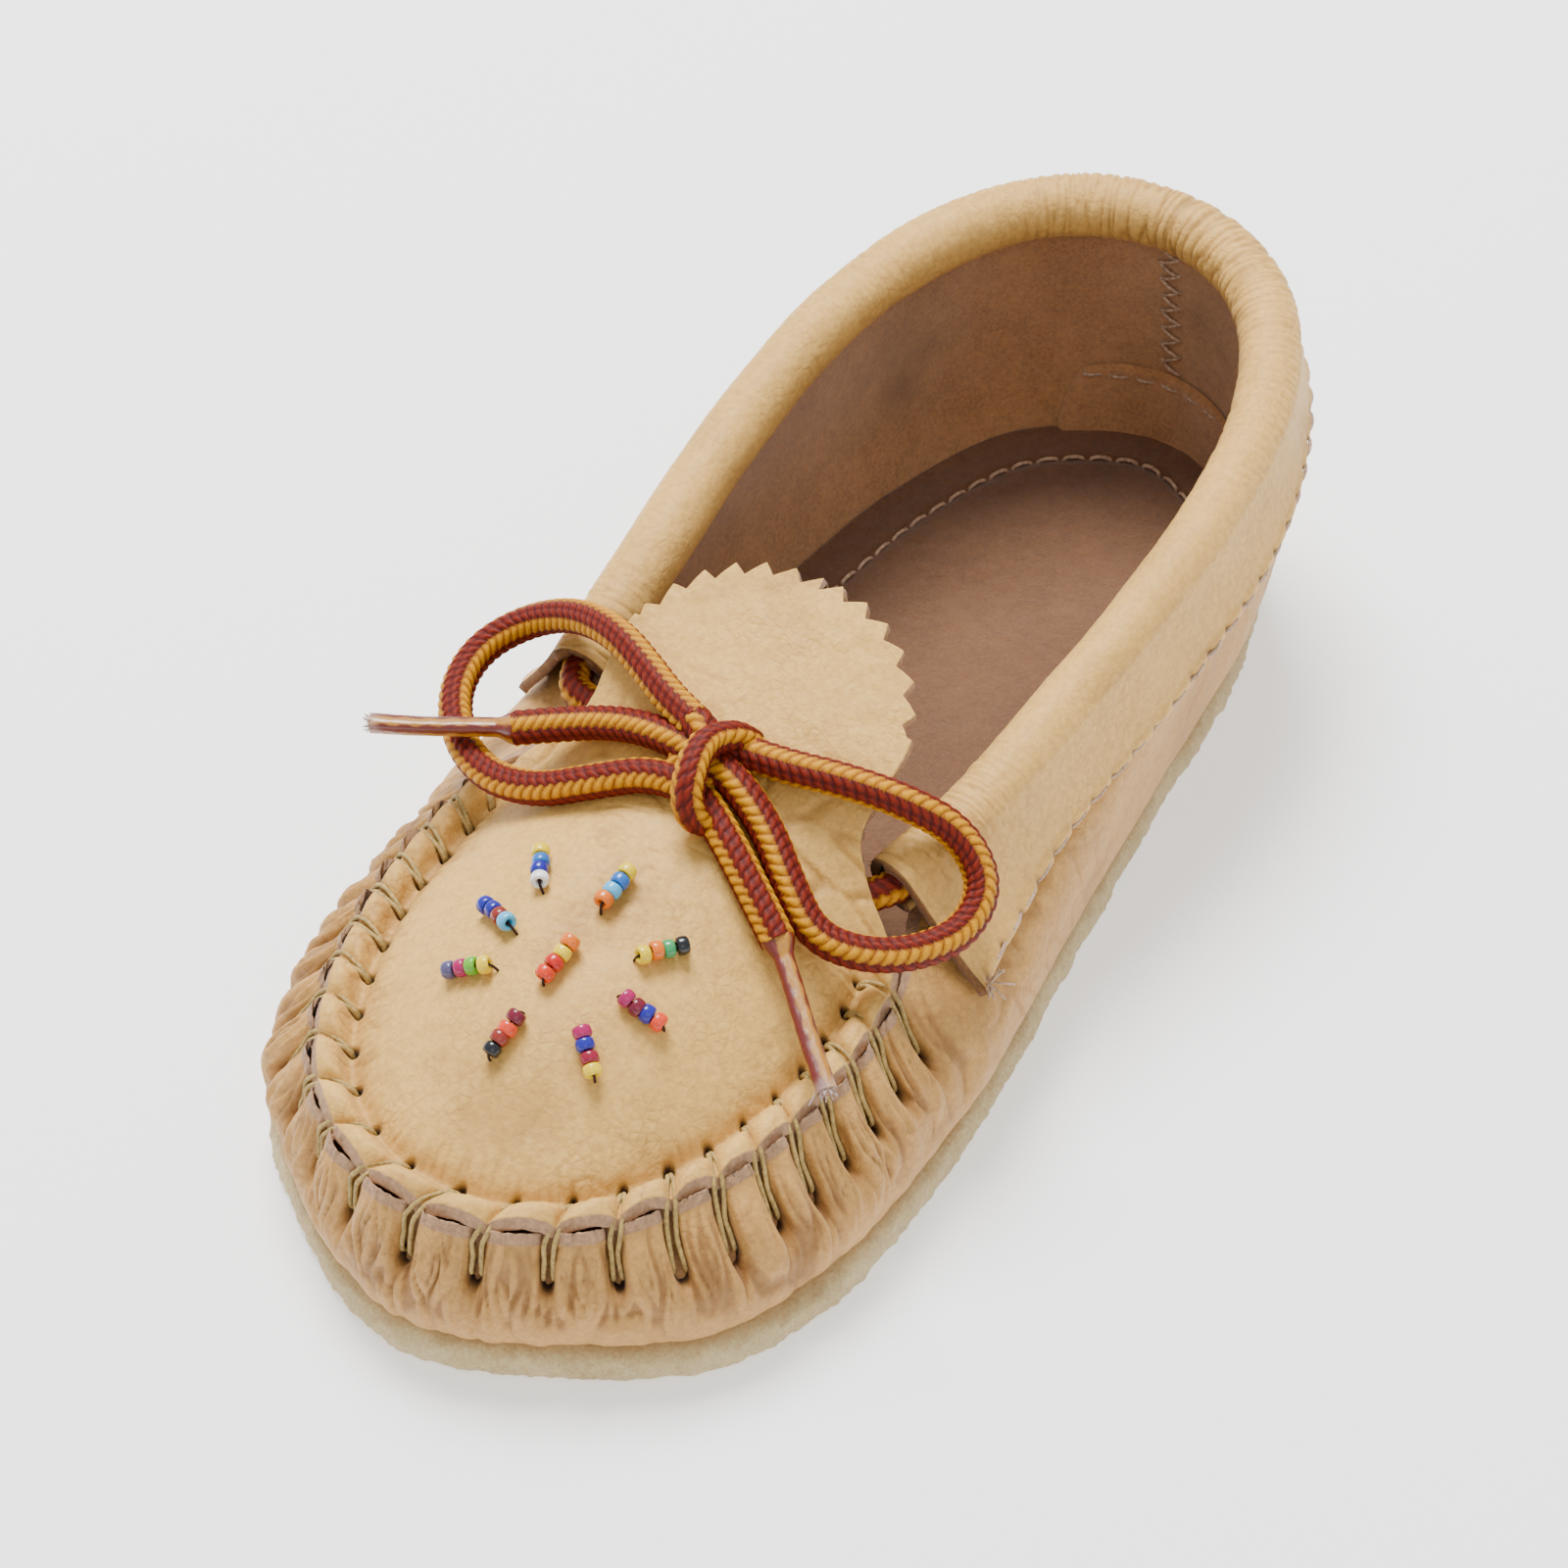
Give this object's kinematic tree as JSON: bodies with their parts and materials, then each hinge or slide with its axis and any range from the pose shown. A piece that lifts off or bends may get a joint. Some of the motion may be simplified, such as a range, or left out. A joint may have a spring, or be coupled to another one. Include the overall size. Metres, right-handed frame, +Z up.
{
  "type": "moccasin",
  "caption": "Child's slip-on moccasin with gathered toe seam, rolled collar, bead pattern on the vamp and a tied lace bow.",
  "frame": {"origin": "on the ground under the middle of the sole", "axes": "+Z up, toe towards -Y, heel towards +Y, right side towards +X when the toe points at the viewer"},
  "size_m": [0.0799, 0.1772, 0.0506],
  "materials": {
    "outsole": "napped ivory suede-like sole",
    "body_upper": "smooth tan full-grain leather, aniline finish",
    "vamp": "smooth pale tan pebbled leather",
    "tongue": "smooth pale tan pebbled leather",
    "collar": "smooth tan leather rolled over the lace",
    "sole_pad": "matte foam",
    "insole_sock": "brown suede",
    "heel_tab": "brown suede",
    "toe_stitching": "waxed olive thread",
    "collar_stitching": "off-white thread",
    "heel_seam_stitching": "pale thread",
    "heel_tab_stitching": "pale thread",
    "insole_stitching": "off-white thread",
    "lace_in_collar": "braided cord, gold and rust",
    "lace_left": "braided cord, gold and rust",
    "lace_right": "braided cord, gold and rust",
    "lace_knot": "braided cord, gold and rust",
    "aglet_left": "clear heat-shrunk end over the braid",
    "aglet_right": "clear heat-shrunk end over the braid",
    "bead_threads": "dark thread",
    "bead_string_middle": "glossy opaque glass seed beads",
    "bead_string_1": "glossy opaque glass seed beads",
    "bead_string_2": "glossy opaque glass seed beads",
    "bead_string_3": "glossy opaque glass seed beads",
    "bead_string_4": "glossy opaque glass seed beads",
    "bead_string_5": "glossy opaque glass seed beads",
    "bead_string_6": "glossy opaque glass seed beads",
    "bead_string_7": "glossy opaque glass seed beads",
    "bead_string_8": "glossy opaque glass seed beads"
  },
  "bodies": {
    "shoe": {"outsole": "outsole", "body_upper": "body_upper", "vamp": "vamp", "collar": "collar", "sole_pad": "sole_pad", "insole_sock": "insole_sock", "heel_tab": "heel_tab", "toe_stitching": "toe_stitching", "collar_stitching": "collar_stitching", "heel_seam_stitching": "heel_seam_stitching", "heel_tab_stitching": "heel_tab_stitching", "insole_stitching": "insole_stitching", "lace_in_collar": "lace_in_collar", "lace_left": "lace_left", "lace_right": "lace_right", "lace_knot": "lace_knot", "aglet_left": "aglet_left", "aglet_right": "aglet_right", "bead_threads": "bead_threads", "bead_string_middle": "bead_string_middle", "bead_string_1": "bead_string_1", "bead_string_2": "bead_string_2", "bead_string_3": "bead_string_3", "bead_string_4": "bead_string_4", "bead_string_5": "bead_string_5", "bead_string_6": "bead_string_6", "bead_string_7": "bead_string_7", "bead_string_8": "bead_string_8"},
    "tongue": {"tongue": "tongue"}
  },
  "joints": [
    {"name": "tongue_fold", "type": "hinge", "parent": "shoe", "child": "tongue", "pos_m": [0, -0.011, 0.0411], "axis": [1, 0, 0], "range_deg": [-30, 45]}
  ]
}
